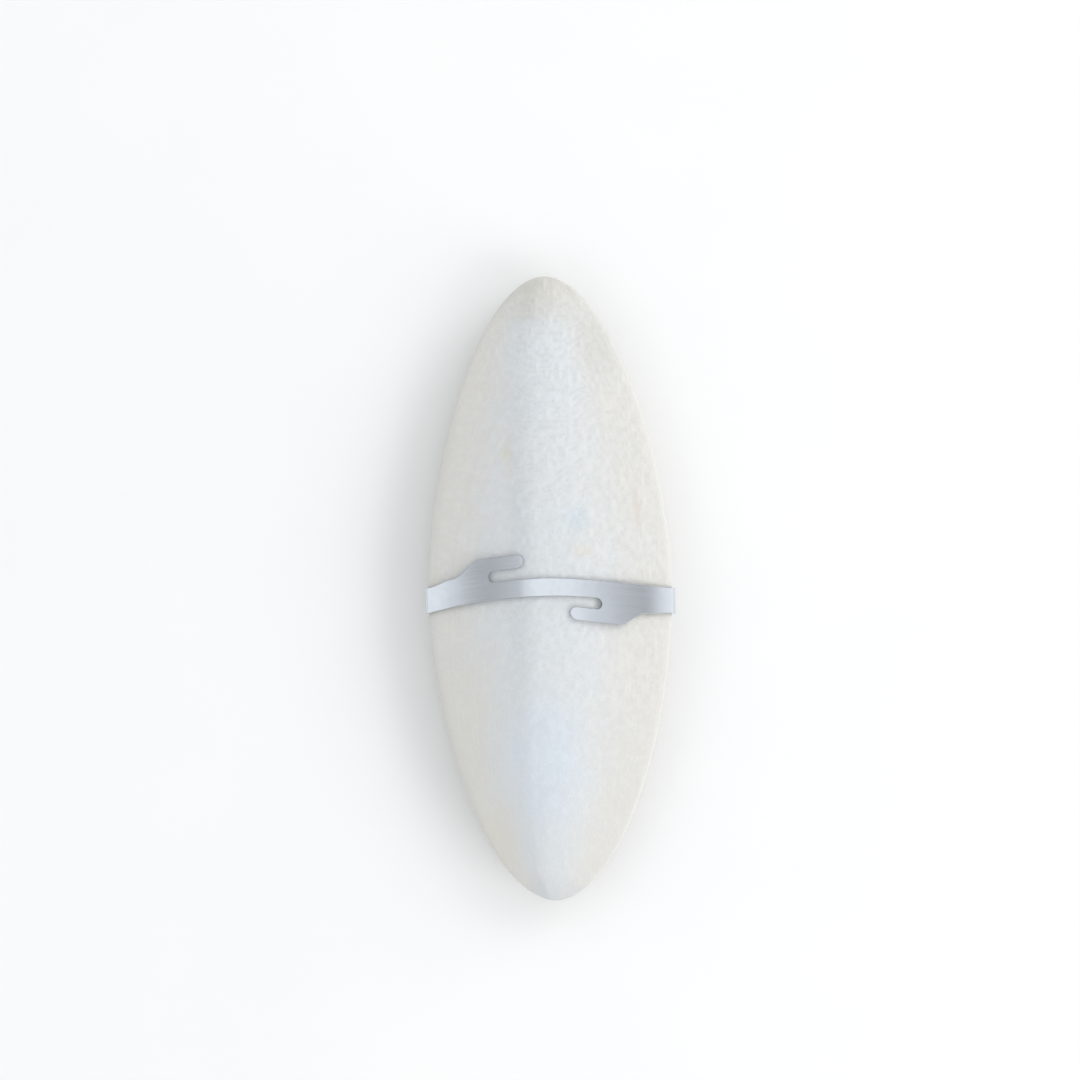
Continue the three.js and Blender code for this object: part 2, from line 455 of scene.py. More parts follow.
class Coat(Graph):
    """A material that is being built, with Object coordinates and the effects at hand."""

    def __init__(self, name: str, effects: Effects) -> None:
        """Makes the material.

        Args:
            name: Name of the material.
            effects: The shared node groups.
        """
        self.material = bpy.data.materials.new(name)
        self.material.use_nodes = True
        super().__init__(self.material.node_tree)
        self.effects = effects
        self.place = self.node("TexCoord", {}).outputs["Object"]

    def mottled(self, patches: Patches) -> Socket:
        """A mask of blotches."""
        limits = {"Size": patches.size, "Low": patches.low, "High": patches.high}
        return self.use(self.effects.mottle, {"Place": self.place, **limits})

    def finished(self, inputs: dict) -> Material:
        """Sets the Principled shader's inputs or joins sockets to them; gives the material."""
        self.feed(self.tree.nodes["Principled BSDF"], inputs)
        return self.material


# -------------------------------------------------------------------------------- finishes


@dataclass(frozen=True)
class StainOrPaintedLight:
    """A stained place, painted shade or painted reflection on the bone's back, with its place and
    reach in millimetres.
    """

    across: float
    along: float
    width: float
    length: float
    colour: Colour
    strength: float
    ragged: float = 0.9

    @property
    def grain(self) -> float:
        """Width of the noise that roughens its edge: larger in a larger stain, in metres."""
        smallest, share = 1.6, 0.3
        return max(smallest, share * self.width) * MM


@dataclass(frozen=True)
class Chalk:
    """The bone's finish: dense chalky white, bluish in the middle from a painted reflection, and
    warmer at the margin.

    The striated ground of the belly is cream, and its thin flange is horny yellow.
    """

    # the middle colour is chalk white with a painted bluish reflection in it; the warm margin
    # colour is the bone's own
    cool_with_painted_reflection: Colour = (0.652, 0.679, 0.702)
    warm: Colour = (0.668, 0.656, 0.628)
    margin_warmth: Span = (0.1, 0.95)
    head_warmth: Span = (146 * MM, 159 * MM)
    blotches: Patches = Patches(22 * MM, 0.3, 0.7)
    blotch_warmth: float = 0.36
    striated: Colour = (0.70, 0.685, 0.64)
    striated_share: float = 0.75
    horny: Colour = (0.66, 0.62, 0.53)
    horny_cloud: float = 5 * MM
    horny_limits: Span = (0.3, 0.7)
    horny_share: Span = (0.35, 0.7)
    growth_band: float = 4.5 * MM
    growth_limits: Span = (0.25, 0.75)
    growth_shade: Span = (0.982, 1.012)
    hollow_shade: Span = (1.0, 0.928)
    worn: Patches = Patches(9 * MM, 0.35, 0.65)
    roughness: Span = (0.76, 0.91)
    specular: float = 0.3
    grain_size: float = 0.45 * MM
    grain_depth: float = 0.05 * MM
    stains_and_painted_light: tuple[StainOrPaintedLight, ...] = (
        StainOrPaintedLight(-10.2, 34.6, 2.6, 5.2, (0.65, 0.59, 0.46), 0.45, 1.2),
        StainOrPaintedLight(-9.6, 29.6, 1.7, 2.8, (0.65, 0.59, 0.46), 0.32, 1.2),
        StainOrPaintedLight(22.4, 19.5, 1.5, 6.5, (0.62, 0.55, 0.48), 0.42),
        # a darker bluish patch right of the ridge
        StainOrPaintedLight(7.4, 17.4, 4.8, 5.4, (0.56, 0.63, 0.69), 0.5, 0.5),
        StainOrPaintedLight(8.4, 9.5, 4.8, 2.4, (0.69, 0.63, 0.55), 0.42),
        StainOrPaintedLight(-24.5, 44.0, 1.2, 2.6, (0.67, 0.61, 0.52), 0.25),
        # painted reflection: a bluish cast over the lower middle of the back
        StainOrPaintedLight(-1.5, -44.0, 14, 25, (0.625, 0.687, 0.77), 0.58, 0.3),
        # painted shade: a darker band just left of the ridge, along most of the bone
        StainOrPaintedLight(-7.5, 8.0, 5, 62, (0.60, 0.625, 0.648), 0.75, 0.3),
        StainOrPaintedLight(-22.0, -44.0, 7, 30, (0.66, 0.645, 0.60), 0.5, 0.3),
        StainOrPaintedLight(-15.0, -65.0, 8, 15, (0.665, 0.64, 0.575), 0.6, 0.3),
        # the head's tip: a warmer horny tone, and darkened as painted shade where its surface tilts
        # down
        StainOrPaintedLight(-1.5, 79.0, 19, 17, (0.60, 0.59, 0.55), 0.85, 0.4),
        # painted shade: the tail's tip is darkened where its surface tilts down
        StainOrPaintedLight(0.0, -79.0, 14, 8, (0.59, 0.61, 0.62), 0.7, 0.4),
        StainOrPaintedLight(13.0, 62.0, 8, 15, (0.61, 0.605, 0.585), 0.7, 0.4),
    )

    def material(self, effects: Effects) -> Material:
        """Builds the finish.

        Args:
            effects: The shared node groups.

        Returns:
            The material, which reads the bone's own attributes margin, growth, belly, striae,
            flange and hollow.
        """
        coat = Coat("chalky_bone", effects)
        tone = self.belly_tone(coat, self.back_tone(coat))
        grit = coat.use(effects.grit, {"Place": coat.place, "Size": self.grain_size})
        return coat.finished(
            {
                "Base Color": coat.shade(tone, self.bands_and_painted_hollow_shade(coat)),
                "Roughness": coat.ramp(coat.mottled(self.worn), 0, 1, self.roughness),
                "Specular IOR Level": self.specular,
                "Normal": coat.bumped(grit, self.grain_depth),
            }
        )

    def back_tone(self, coat: Coat) -> Socket:
        """The back's colour: bluish with a painted reflection in the middle, warm towards the
        margin and the head.

        Blotches move the warmth up and down by half of theirs, and stained places, painted shade
        and painted reflections lie over it.

        Args:
            coat: The material.

        Returns:
            The colour.
        """
        blotches = coat.mottled(self.blotches)
        across = coat.ramp(coat.attribute("margin"), *self.margin_warmth)
        head = coat.ramp(coat.attribute("growth"), *self.head_warmth)
        least = coat.math("SUBTRACT", coat.math("MAXIMUM", across, head), self.blotch_warmth / 2)
        warmth = coat.math("MULTIPLY_ADD", blotches, self.blotch_warmth, least)
        tone = coat.tint(coat.ramp(warmth, 0, 1, kind=Ramp.STRAIGHT), self.cool_with_painted_reflection, self.warm)
        for stain_or_light in self.stains_and_painted_light:
            tone = self.with_stain_or_light(coat, tone, stain_or_light)
        return tone

    def with_stain_or_light(self, coat: Coat, tone: Socket, stain_or_light: StainOrPaintedLight) -> Socket:
        """Lays a stained place, a painted shade or a painted reflection on the back.

        Args:
            coat: The material.
            tone: Colour so far.
            stain_or_light: What is laid: a stained place, painted shade or painted reflection.

        Returns:
            The colour with it laid in.
        """
        middle = (stain_or_light.across * MM, stain_or_light.along * MM, 0)
        reach = (1 / (stain_or_light.width * MM), 1 / (stain_or_light.length * MM), 0)
        shift = coat.vectors("SUBTRACT", coat.place, middle).outputs["Vector"]
        offset = coat.vectors("MULTIPLY", shift, reach).outputs["Vector"]
        edge = {"Place": coat.place, "Grain": stain_or_light.grain, "Ragged": stain_or_light.ragged}
        mask = coat.use(coat.effects.blot, {"Offset": offset, **edge})
        on_back = coat.math("SUBTRACT", 1.0, coat.attribute("belly"))
        share = coat.math("MULTIPLY", coat.math("MULTIPLY", mask, on_back), stain_or_light.strength)
        return coat.tint(share, tone, stain_or_light.colour)

    def belly_tone(self, coat: Coat, tone: Socket) -> Socket:
        """Adds the belly: cream where it is striated, and horny yellow on the thin flange.

        Args:
            coat: The material.
            tone: Colour so far.

        Returns:
            The colour with the belly in it.
        """
        cream = coat.math("MULTIPLY", coat.attribute("striae"), self.striated_share)
        tone = coat.tint(cream, tone, self.striated)
        cloud = coat.noise(coat.place, self.horny_cloud)
        cloud = coat.ramp(cloud, *self.horny_limits, self.horny_share)
        horny = coat.math("MULTIPLY", coat.attribute("flange"), cloud)
        return coat.tint(horny, tone, self.horny)

    def bands_and_painted_hollow_shade(self, coat: Coat) -> Socket:
        """Paints shade into the hollows of the relief, and bands the bone faintly along its growth
        lines.

        Args:
            coat: The material.

        Returns:
            A value near 1 to multiply the colour by.
        """
        growth = coat.node("CombineXYZ", {0: coat.attribute("growth")}).outputs[0]
        bands = coat.noise(growth, self.growth_band, detail=3)
        bands = coat.ramp(bands, *self.growth_limits, self.growth_shade)
        # painted shade: the hollows of the fine relief are darkened
        hollows = coat.ramp(coat.attribute("hollow"), 0, 1, self.hollow_shade, Ramp.STRAIGHT)
        return coat.math("MULTIPLY", bands, hollows)


@dataclass(frozen=True)
class SatinSteel:
    """The clip's finish: cold-rolled stainless strip, finely brushed along its length."""

    colour: Colour = (0.705, 0.74, 0.795)
    brush_limits: Span = (0.25, 0.75)
    brush_shade: Span = (0.975, 1.02)
    handled: Patches = Patches(6 * MM, 0.35, 0.7)
    handled_shade: Span = (1.0, 0.97)
    roughness: float = 0.2
    roughness_limits: Span = (0.2, 0.8)
    roughness_spread: float = 0.03
    brush_length: float = 14 * MM
    brush_width: float = 0.16 * MM
    brush_depth: float = 0.0012 * MM
    # darker colour along the cut edges: painted shade there, over the duller cut steel
    sheared_and_shaded: Colour = (0.40, 0.42, 0.46)
    sheared_roughness: float = 0.5
    sheared_and_shaded_from: Span = (0.78, 0.93)
    sheared_and_shaded_patches: Patches = Patches(3 * MM, 0.35, 0.6)
    sheared_and_shaded_share: Span = (0.7, 1)

    def material(self, effects: Effects) -> Material:
        """Builds the finish.

        Args:
            effects: The shared node groups.

        Returns:
            The material, which reads the clip's own attributes blank and edge.
        """
        coat = Coat("satin_steel", effects)
        stretch = (1 / self.brush_length, 1 / self.brush_width, 1)
        brushed = coat.vectors("MULTIPLY", coat.attribute("blank", "Vector"), stretch)
        streaks = coat.noise(brushed.outputs["Vector"], 1.0, detail=3)
        handled, sheared_and_shaded = coat.mottled(self.handled), self.sheared_and_shaded_edges(coat)
        # the cut edges get a darker colour: painted shade along them
        tone = coat.tint(sheared_and_shaded, self.colour, self.sheared_and_shaded)
        tone = coat.shade(tone, coat.ramp(streaks, *self.brush_limits, self.brush_shade))
        tone = coat.shade(tone, coat.ramp(handled, 0, 1, self.handled_shade))
        spread, gain = self.roughness_spread, self.sheared_roughness - self.roughness
        around = (self.roughness - spread, self.roughness + spread)
        rough = coat.ramp(streaks, *self.roughness_limits, around)
        rough = coat.math("MULTIPLY_ADD", handled, spread, rough)
        return coat.finished(
            {
                "Base Color": tone,
                "Roughness": coat.math("MULTIPLY_ADD", sheared_and_shaded, gain, rough),
                "Metallic": 1.0,
                "Normal": coat.bumped(streaks, self.brush_depth),
            }
        )

    def sheared_and_shaded_edges(self, coat: Coat) -> Socket:
        """A mask of the cut edges, which are dull and carry a darker painted shade: more so in
        patches.
        """
        patchy = coat.ramp(coat.mottled(self.sheared_and_shaded_patches), 0, 1, self.sheared_and_shaded_share)
        return coat.math("MULTIPLY", coat.ramp(coat.attribute("edge"), *self.sheared_and_shaded_from), patchy)


@dataclass(frozen=True)
class Paper:
    """The floor's finish: plain pale paper."""

    colour: Colour = (0.89, 0.89, 0.89)
    shaded: Colour = (0.875, 0.875, 0.88)
    cloud: Patches = Patches(120 * MM, 0.3, 0.7)
    roughness: float = 0.8
    specular: float = 0.2

    def material(self, effects: Effects) -> Material:
        """Builds the finish.

        Args:
            effects: The shared node groups.

        Returns:
            The material.
        """
        coat = Coat("pale_paper", effects)
        return coat.finished(
            {
                "Base Color": coat.tint(coat.mottled(self.cloud), self.colour, self.shaded),
                "Roughness": self.roughness,
                "Specular IOR Level": self.specular,
            }
        )


# -------------------------------------------------------------------------------- the bone


@dataclass(frozen=True)
class Swelling:
    """A rounded swelling: 1 less a power of the share of its reach, raised to its fullness."""

    power: float
    fullness: float

    def at(self, share: Array) -> Array:
        """Its height at shares of its reach: 1 in the middle and 0 at the edge."""
        return np.maximum(0, 1 - np.maximum(0, share) ** self.power) ** self.fullness


@dataclass(frozen=True)
class Band:
    """A soft band: the product of a soft step in at its first end and one out at its last."""

    first: Span
    last: Span

    def at(self, value: Array) -> Array:
        """The band at each value."""
        return soft_step(value, *self.first) * soft_step(value, *self.last)


@dataclass(frozen=True)
class Bumps:
    """Random relief of one size: its height, and the width of its lattice squares."""

    height: float
    width: float

    def at(self, grain: Grain, x: Array, y: Array) -> Array:
        """The relief at places: the height times the grain of that width."""
        return self.height * grain.at(x, y, self.width)


def piled(layers: tuple[Bumps, ...], grain: Grain, x: Array, y: Array) -> Array:
    """The sum of several sizes of random relief at places."""
    return sum(layer.at(grain, x, y) for layer in layers)


def wave(value: Array, length: float) -> Array:
    """A sine that repeats after each length."""
    return np.sin(2 * np.pi * value / length)


@dataclass(frozen=True)
class BackRelief:
    """Relief of the back, outwards.

    Its broad part is slow undulations, and a faint crease beside the ridge in the tail half.
    Its fine part is rounded granules, ripples across the ridge in the head half, and growth
    steps that follow the old margins. Ripples and steps are sines of a length that noise has
    bent. Granules are weaker towards the tail and the left.
    """

    grain: Grain = field(default_factory=lambda: Grain(11))
    swells: tuple[Bumps, ...] = (Bumps(0.10 * MM, 17 * MM), Bumps(0.045 * MM, 7 * MM))
    granules: Bumps = Bumps(0.105 * MM, 1.15 * MM)
    granule_grit: Bumps = Bumps(0.033 * MM, 0.8 * MM)
    tail_share: float = 0.17
    head_gain: float = 0.5
    headwards: Span = (-62 * MM, 5 * MM)
    left_share: float = 0.7
    right_gain: float = 1.4
    rightwards: Span = (-16 * MM, 2 * MM)
    ripple_height: float = 0.038 * MM
    ripple_length: float = 1.55 * MM
    ripple_bow: float = 2.2
    ripple_bends: tuple[Bumps, ...] = (Bumps(1.3 * MM, 4.2 * MM), Bumps(0.5 * MM, 1.9 * MM))
    ripple_middle: float = 1.5 * MM
    ripple_sides: Span = (12.5 * MM, 6 * MM)
    ripple_along: Band = Band((8 * MM, 24 * MM), (77 * MM, 68 * MM))
    step_height: float = 0.007 * MM
    step_length: float = 2.6 * MM
    step_bends: Bumps = Bumps(1.1 * MM, 6 * MM)
    step_start: Span = (70 * MM, 120 * MM)
    step_loss: float = 0.7
    crease_depth: float = 0.05 * MM
    crease_middle: float = -4 * MM
    crease_reach: float = 1.3 * MM
    crease_along: Band = Band((-70 * MM, -56 * MM), (-24 * MM, -40 * MM))

    def at(self, x: Array, y: Array, growth: Array, width: float) -> tuple[Array, Array]:
        """The relief at places.

        Args:
            x: Places across.
            y: Places along.
            growth: Length that the bone had when its margin passed them.
            width: The bone's width.

        Returns:
            The broad and the fine part of the height, in metres.
        """
        grain = self.grain
        crease = hump(x, self.crease_middle, self.crease_reach) * self.crease_along.at(y)
        granules = np.maximum(0, self.granules.at(grain, x, y)) + self.granule_grit.at(grain, x, y)
        granules = granules * (self.tail_share + self.head_gain * soft_step(y, *self.headwards))
        granules = granules * (self.left_share + self.right_gain * soft_step(x, *self.rightwards))
        bent = y + piled(self.ripple_bends, grain, x, y) - self.ripple_bow * x**2 / width
        band = soft_step(np.abs(x - self.ripple_middle), *self.ripple_sides)
        ripple = band * self.ripple_along.at(y) * wave(bent, self.ripple_length)
        growth = growth + self.step_bends.at(grain, x, y)
        step = soft_step(growth, *self.step_start) * wave(growth, self.step_length)
        step = step * (1 - self.step_loss * band)
        fine = granules + self.ripple_height * ripple + self.step_height * step
        return piled(self.swells, grain, x, y) - self.crease_depth * crease, fine


@dataclass(frozen=True)
class BellyRelief:
    """Relief of the belly, outwards.

    The last chamber, at the head, is smooth and stands a little proud. Behind it lies the
    striated ground, with a shallow furrow along its middle. At the tail, two low limbs follow
    the flange's inner edge. The fine part is the striae, which are sines of the growth length,
    and a soft grain.
    """

    grain: Grain = field(default_factory=lambda: Grain(23))
    swells: tuple[Bumps, ...] = (Bumps(0.16 * MM, 15 * MM), Bumps(0.04 * MM, 5 * MM))
    front: Span = (103 * MM, 100.5 * MM)
    front_bends: Bumps = Bumps(1.4 * MM, 5 * MM)
    striated_depth: float = 0.32 * MM
    stria_height: float = 0.055 * MM
    stria_length: float = 1.35 * MM
    stria_bends: tuple[Bumps, ...] = (Bumps(0.5 * MM, 3.5 * MM), Bumps(0.22 * MM, 1.4 * MM))
    furrow_depth: float = 0.35 * MM
    furrow_reach: float = 2.6 * MM
    furrow_tail_end: Span = (-70 * MM, -52 * MM)
    limb_height: float = 0.55 * MM
    limb_inset: float = 0.05
    limb_reach: float = 0.045
    limb_along: Band = Band((-0.42, -0.72), (-0.985, -0.93))
    soft_grain: Bumps = Bumps(0.014 * MM, 1.1 * MM)

    def striated_at(self, x: Array, y: Array, growth: Array) -> Array:
        """Where the belly is striated: 1 behind an arched line, and 0 on the last chamber."""
        return soft_step(growth + self.front_bends.at(self.grain, x, y), *self.front)

    def at(
        self, x: Array, y: Array, growth: Array, station: Array, inside: Array
    ) -> tuple[Array, Array]:
        """The relief at places.

        Args:
            x: Places across.
            y: Places along.
            growth: Length that the bone had when its margin passed them.
            station: Stations.
            inside: How far inside the flange's inner edge, as a share of the half width.

        Returns:
            The broad and the fine part of the height, in metres.
        """
        grain = self.grain
        striated = self.striated_at(x, y, growth)
        furrow = striated * hump(x, 0, self.furrow_reach) * soft_step(y, *self.furrow_tail_end)
        limb = hump(inside, self.limb_inset, self.limb_reach) * self.limb_along.at(station)
        ground = piled(self.swells, grain, x, y) - self.striated_depth * striated
        ground = ground - self.furrow_depth * furrow + self.limb_height * limb
        stria = wave(growth + piled(self.stria_bends, grain, x, y), self.stria_length)
        fine = self.stria_height * striated * stria + self.soft_grain.at(grain, x, y)
        return ground, fine


def poles_once(grid: Array) -> Array:
    """What a grid holds, ring by ring, with one entry for each of the poles at its ends."""
    between = grid[1:-1].reshape(-1, *grid.shape[2:])
    return np.concatenate([grid[0, :1], between, grid[-1, :1]])


@dataclass
class Cuttlebone:
    """The bone: a closed surface over stations from tail to head and points round each ring.

    A station runs from -1 at the tail to 1 at the head. Across is the share of the half width
    at that station, from -1 at the left rim to 1 at the right rim.
    """

    length: float
    width: float
    waist: float = 0.12
    bluntness: float = 0.53
    head_taper: float = 1.6
    tail_taper: float = 1.75
    rim_thickness: float = 1.4 * MM
    rim_drop: float = 2.5 * MM
    rim_thinning: float = 0.35
    rim_edge: float = 24
    back_rise: float = 0.215
    left_ridge: float = 0.28
    right_ridge: float = 0.42
    ridge_offset: float = -2.4 * MM
    ridge_drift: float = 0.25
    ridge_taper: float = 5 * MM
    flange_inset: float = 0.035
    flange_tail_inset: float = 0.14
    flange_edge: Span = (0.94, 1.0)
    belly_depth: float = 10 * MM
    belly_crest: float = 0.04
    belly_headwards: Swelling = Swelling(2.3, 0.8)
    belly_tailwards: Swelling = Swelling(2.1, 1.3)
    belly_across: Swelling = Swelling(2.3, 0.85)
    rest_wear: float = 0.35 * MM
    rim_calm: Span = (1.0, 0.9)
    pole_calm: Span = (1.0, 0.985)
    hollow_level: float = 0.035 * MM
    hollow_depth: float = 0.09 * MM
    rings: int = 308
    ring_points: int = 316
    back: BackRelief = BackRelief()
    belly: BellyRelief = BellyRelief()
    finish: Chalk = Chalk()

    def half_width_at(self, station: Array) -> Array:
        """Half the width: the half width times a power of what is left of the reach to the end.

        The reach is a power of the distance from the middle, less its value at the middle. The
        distance is rounded, so that the outlines of the two halves meet smoothly.

        Args:
            station: Stations.

        Returns:
            Half the width at each.
        """
        waist = self.waist
        taper = np.where(station > 0, self.head_taper, self.tail_taper)
        reach = np.hypot(station, waist) ** taper - waist**taper
        full = np.hypot(1, waist) ** taper - waist**taper
        return self.width / 2 * np.maximum(0, 1 - reach / full) ** self.bluntness

    def rim_height_at(self, station: Array) -> Array:
        """Height of the rim's mid-plane: it falls with the square of the station."""
        middle = self.belly_depth - self.rest_wear + self.rim_thickness / 2
        return middle - self.rim_drop * station**2

    def rim_half_at(self, station: Array, share: Array) -> Array:
        """Half the rim's thickness: it thins towards the ends, and its edge is round.

        Args:
            station: Stations.
            share: Across, without its sign.

        Returns:
            Half the thickness.
        """
        narrowed = 2 * self.half_width_at(station) / self.width
        full = self.rim_thickness * narrowed**self.rim_thinning
        return full / 2 * np.sqrt(np.maximum(0, 1 - share**self.rim_edge))

    def back_height_at(self, station: Array, across: Array) -> Array:
        """Height of the back over the rim: a straight flank and a parabola up to the ridge.

        The parabola is wider on the right, where the flank is a little steeper for it.

        Args:
            station: Stations.
            across: Across.

        Returns:
            The height.
        """
        share, ridge = np.abs(across), np.where(across < 0, self.left_ridge, self.right_ridge)
        cut = np.maximum(0, ridge - share) ** 2 / (2 * ridge)
        slope = self.back_rise / (1 - ridge / 2)
        return slope * self.half_width_at(station) * (1 - share - cut)

    def ridge_top(self) -> float:
        """Height of the ridge in the middle of the bone."""
        rim = float(self.rim_height_at(np.array(0.0))) + self.rim_thickness / 2
        return rim + self.back_rise * self.width / 2

    def ridge_at(self, station: Array) -> Array:
        """How far right of the middle the ridge lies: less at the head and in narrow places.

        Args:
            station: Stations.

        Returns:
            The distance at each.
        """
        wide, taper = self.half_width_at(station), self.ridge_taper
        fade = wide / (wide + taper) * (self.width / 2 + taper) / (self.width / 2)
        return self.ridge_offset * (1 - self.ridge_drift * station) * fade

    def flange_at(self, station: Array) -> Array:
        """Share of the half width where the belly starts inside the thin flange."""
        return 1 - self.flange_inset - self.flange_tail_inset * np.minimum(0, station) ** 2

    def belly_depth_at(self, station: Array, share: Array) -> Array:
        """Depth of the belly under the rim: a swelling along the bone times one across it.

        Args:
            station: Stations.
            share: Across, without its sign.

        Returns:
            The depth.
        """
        crest = self.belly_crest
        headwards = self.belly_headwards.at((station - crest) / (1 - crest))
        tailwards = self.belly_tailwards.at((crest - station) / (1 + crest))
        along = np.where(station > crest, headwards, tailwards)
        return self.belly_depth * along * self.belly_across.at(share / self.flange_at(station))

    def growth_at(self, x: Array, y: Array) -> Array:
        """Length that the bone had when its margin passed a point, as it grew from the tail.

        The margins of all ages are taken as ellipses that touch at the tail. The point is on
        the one whose size is the sum of its squared shares over twice its share along.

        Args:
            x: Places across.
            y: Places along.

        Returns:
            The length, in metres.
        """
        nearest = 0.02
        across = x / (self.width / 2)
        along = np.maximum(nearest, (y + self.length / 2) / (self.length / 2))
        return self.length * (across**2 + along**2) / (2 * along)

    def stations(self) -> Array:
        """Stations at equal distances along the outline, poles included.

        Returns:
            The stations, from tail to head.
        """
        samples = 8001
        fine = np.sin(np.linspace(-np.pi / 2, np.pi / 2, samples))
        outline = np.stack([self.half_width_at(fine), self.length / 2 * fine], axis=1)
        return np.interp(np.linspace(0, 1, self.rings + 1), walked_share(outline), fine)

    def ring(self) -> tuple[Array, Array]:
        """Points round a ring: over the back to the right rim, and back under the belly.

        Their spacing is the mean of an even one and that of a half circle, which is closer at
        the rims.

        Returns:
            Across at each point, and whether the point is on the belly.
        """
        half = self.ring_points // 2
        even = np.linspace(-1, 1, half + 1)
        over = (even + np.sin(np.pi / 2 * even)) / 2
        under = over[-2:0:-1]
        belly = np.concatenate([np.zeros(half + 1, bool), np.ones(half - 1, bool)])
        return np.concatenate([over, under]), belly

    def build(self, effects: Effects) -> Piece:
        """Builds the bone and dresses it.

        X is the half width times across, shifted to the ridge on the back. Y is the station's
        share of the half length. Z is the rim's height with the back and its relief over it, or
        the belly and its relief under it, cut flat where the bone rests.

        Args:
            effects: The shared node groups.

        Returns:
            The finished object.
        """
        station = self.stations()[:, None]
        across, belly = self.ring()
        share, flange = np.abs(across), self.flange_at(station)
        lean = np.where(belly, 0, self.ridge_at(station) * (1 - share))
        x = self.half_width_at(station) * across + lean
        y = np.broadcast_to(self.length / 2 * station, x.shape)
        growth = self.growth_at(x, y)
        calm = soft_step(share, *self.rim_calm) * soft_step(np.abs(station), *self.pole_calm)
        over_broad, over_fine = self.back.at(x, y, growth, self.width)
        under_broad, under_fine = self.belly.at(x, y, growth, station, flange - share)
        fine = calm * np.where(belly, under_fine, over_fine)
        relief = calm * np.where(belly, under_broad, over_broad) + fine
        rim, thick = self.rim_height_at(station), self.rim_half_at(station, share)
        over = rim + thick + self.back_height_at(station, across) + relief
        under = rim - thick - self.belly_depth_at(station, share) - relief
        z = np.where(belly, np.maximum(0, under), over)

        piece = new_piece("grown_bone", poles_once(np.stack([x, y, z], axis=-1)), self.faces())
        on_belly = np.broadcast_to(belly.astype(float), x.shape)
        values = {
            "margin": np.broadcast_to(share, x.shape),
            "growth": growth,
            "belly": on_belly,
            "striae": on_belly * self.belly.striated_at(x, y, growth),
            "flange": on_belly * soft_step(share / flange, *self.flange_edge),
            # how deep each point lies in the fine relief; the finish darkens it as painted shade
            "hollow": np.clip((self.hollow_level - fine) / self.hollow_depth, 0, 1),
        }
        for name, grid in values.items():
            add_values(piece, name, poles_once(grid))
        piece.data.materials.append(self.finish.material(effects))
        return piece

    def faces(self) -> list[list[int]]:
        """Faces: a closed band between neighbouring rings, and a fan of triangles at each pole.

        Returns:
            Vertex indices of each face, turning outwards.
        """
        count, last = self.ring_points, 1 + (self.rings - 1) * self.ring_points
        index = 1 + np.arange((self.rings - 1) * count).reshape(-1, count)
        onward = np.roll(index, -1, axis=1)
        bands = np.stack([index[:-1], onward[:-1], onward[1:], index[1:]], axis=-1)
        tail = np.stack([np.zeros(count, int), onward[0], index[0]], axis=-1)
        head = np.stack([index[-1], onward[-1], np.full(count, last)], axis=-1)
        return bands.reshape(-1, 4).tolist() + tail.tolist() + head.tolist()


# -------------------------------------------------------------------------------- the clip


@dataclass(frozen=True)
class Stretch:
    """A length of the bent strip, and the angle by which it turns down evenly along it."""

    length: float
    turn: float


@dataclass(frozen=True)
class Spring:
    """How a half of the strip bows, by its tilt at three places.

    It turns evenly over the crown's run, then slowly along the flank, and at the crease.
    """

    crown_run: float
    crown: float
    flank: float
    arm: float


@dataclass(frozen=True)
class Ear:
    """Where a half's tab and its shoulder lie along the strip, as runs from its middle."""

    tab_tip: float
    shoulder_start: float
    shoulder_end: float


@dataclass(frozen=True)
class ClipSizes:
    """The clip's sizes. Slot and tab lie across from the centre line; the slot ends at a run."""

    half_width: float
    rim_height: float
    rim_thickness: float
    ridge_top: float
    ridge_offset: float
    sheet: float = 0.4 * MM
    rim_gap: float = 0.34 * MM
    crown_gap: float = 0.32 * MM
    claw_tilt: float = math.radians(142.5)
    crease_run: float = 24.2 * MM
    crease_length: float = 0.8 * MM
    claw_length: float = 5.6 * MM
    claw_round: Swelling = Swelling(2.5, 0.5)
    claw_corner: float = 0.8
    strip_half: float = 2.3 * MM
    arm_half: float = 3.25 * MM
    arm_root: float = 4.4 * MM
    arm_flare: float = 3
    strip_arch: float = 3.6 * MM
    strip_arching: float = 1.7
    strip_offset: float = 0.45 * MM
    strip_skew: float = -0.021
    slot_inner: float = 2.05 * MM
    slot_outer: float = 5.0 * MM
    tab_outer: float = 8.3 * MM
    slot_end: float = 14.5 * MM
    tab_lean: float = 0.3 * MM

    @property
    def bend_radius(self) -> float:
        """Radius of the sheet's inner face round the rim."""
        return self.rim_thickness / 2 + self.rim_gap

    @property
    def slot_middle(self) -> float:
        """Middle of the slot, across."""
        return (self.slot_outer + self.slot_inner) / 2

    @property
    def slot_radius(self) -> float:
        """Radius of the slot's closed end."""
        return (self.slot_outer - self.slot_inner) / 2

    @property
    def crown_height(self) -> float:
        """Height of the sheet's inner face in the middle of the strip."""
        return self.ridge_top + self.crown_gap

    def over_back(self, spring: Spring) -> list[Stretch]:
        """The strip from its middle to just past the crease.

        Args:
            spring: How the half bows.

        Returns:
            Its stretches, in order.
        """
        return [
            Stretch(spring.crown_run, spring.crown),
            Stretch(self.crease_run - spring.crown_run, spring.flank - spring.crown),
            Stretch(self.crease_length, spring.arm - spring.flank),
        ]

    def bend_reach(self, tilt: float) -> float:
        """Distance out at which the bend starts when it is reached at a tilt."""
        return self.half_width - self.rim_thickness / 2 + self.bend_radius * math.sin(tilt)

    def centre_line(self, x: Array) -> Array:
        """Where the strip's centre line lies at x: a sloping line less a power of the distance."""
        share = np.minimum(1, np.abs(x) / self.half_width) ** self.strip_arching
        return self.strip_offset + self.strip_skew * x - self.strip_arch * share


